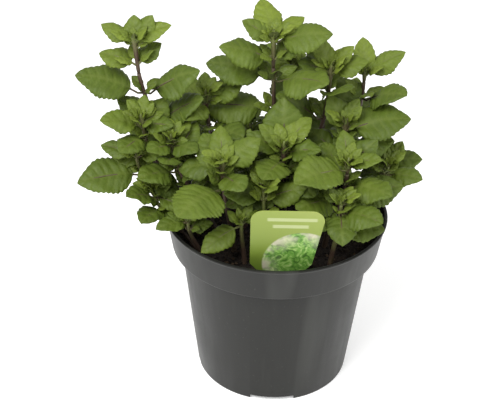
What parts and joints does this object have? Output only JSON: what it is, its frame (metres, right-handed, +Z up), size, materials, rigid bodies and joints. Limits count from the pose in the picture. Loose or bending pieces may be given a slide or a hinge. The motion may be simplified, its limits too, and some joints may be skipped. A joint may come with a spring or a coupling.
{
  "type": "potted mint plant",
  "caption": "Mint plant with toothed oval leaves on upright square stems, growing in compost in a round dark plastic nursery pot with a blank plant label.",
  "frame": {"origin": "middle of the pot's standing plane, on the pot's axis", "axes": "+Z up along the pot's axis, -Y towards the side that the label faces, +X to the right when looking at the label"},
  "size_m": [0.1972, 0.1469, 0.2167],
  "materials": {
    "pot_plastic": "satin",
    "compost": "matte",
    "label": "satin",
    "stem": "satin",
    "young_growth": "satin",
    "leaf": "satin"
  },
  "bodies": {
    "root": {"crown_back_left": "young_growth", "crown_back_middle": "young_growth", "crown_far_right": "young_growth", "crown_front_left": "young_growth", "crown_front_middle": "young_growth", "crown_front_right": "young_growth", "crown_inner_left": "young_growth", "crown_middle_left": "young_growth", "crown_middle_right": "young_growth", "crown_tall_left": "young_growth", "crown_tall_middle": "young_growth", "crown_tall_right": "young_growth", "leaves_back_left_1": "leaf", "leaves_far_right_1": "leaf", "leaves_far_right_2": "leaf", "leaves_front_left_1": "leaf", "leaves_front_middle_1": "leaf", "leaves_front_middle_2": "leaf", "leaves_front_right_1": "leaf", "leaves_front_right_2": "leaf", "leaves_inner_left_1": "leaf", "leaves_inner_left_2": "leaf", "leaves_middle_left_1": "leaf", "leaves_middle_right_1": "leaf", "leaves_tall_left_1": "leaf", "leaves_tall_left_2": "leaf", "leaves_tall_left_3": "leaf", "leaves_tall_middle_1": "leaf", "leaves_tall_middle_2": "leaf", "leaves_tall_middle_3": "leaf", "leaves_tall_right_1": "leaf", "leaves_tall_right_2": "leaf", "plant_label": "label", "pot": "pot_plastic", "potting_compost": "compost", "shoot_back_left_side": "young_growth", "shoot_back_right_side": "young_growth", "shoot_back_sprout": "young_growth", "shoot_front_sprout": "young_growth", "shoot_label_sprout": "young_growth", "shoot_low_front": "young_growth", "shoot_low_inner": "young_growth", "shoot_low_left": "young_growth", "shoot_low_middle": "young_growth", "shoot_low_right": "young_growth", "shoot_rim_left": "young_growth", "shoot_side_left": "young_growth", "shoot_side_right": "young_growth", "stem_back_left": "stem", "stem_back_middle": "stem", "stem_far_right": "stem", "stem_front_left": "stem", "stem_front_middle": "stem", "stem_front_right": "stem", "stem_inner_left": "stem", "stem_middle_left": "stem", "stem_middle_right": "stem", "stem_tall_left": "stem", "stem_tall_middle": "stem", "stem_tall_right": "stem"}
  },
  "joints": []
}
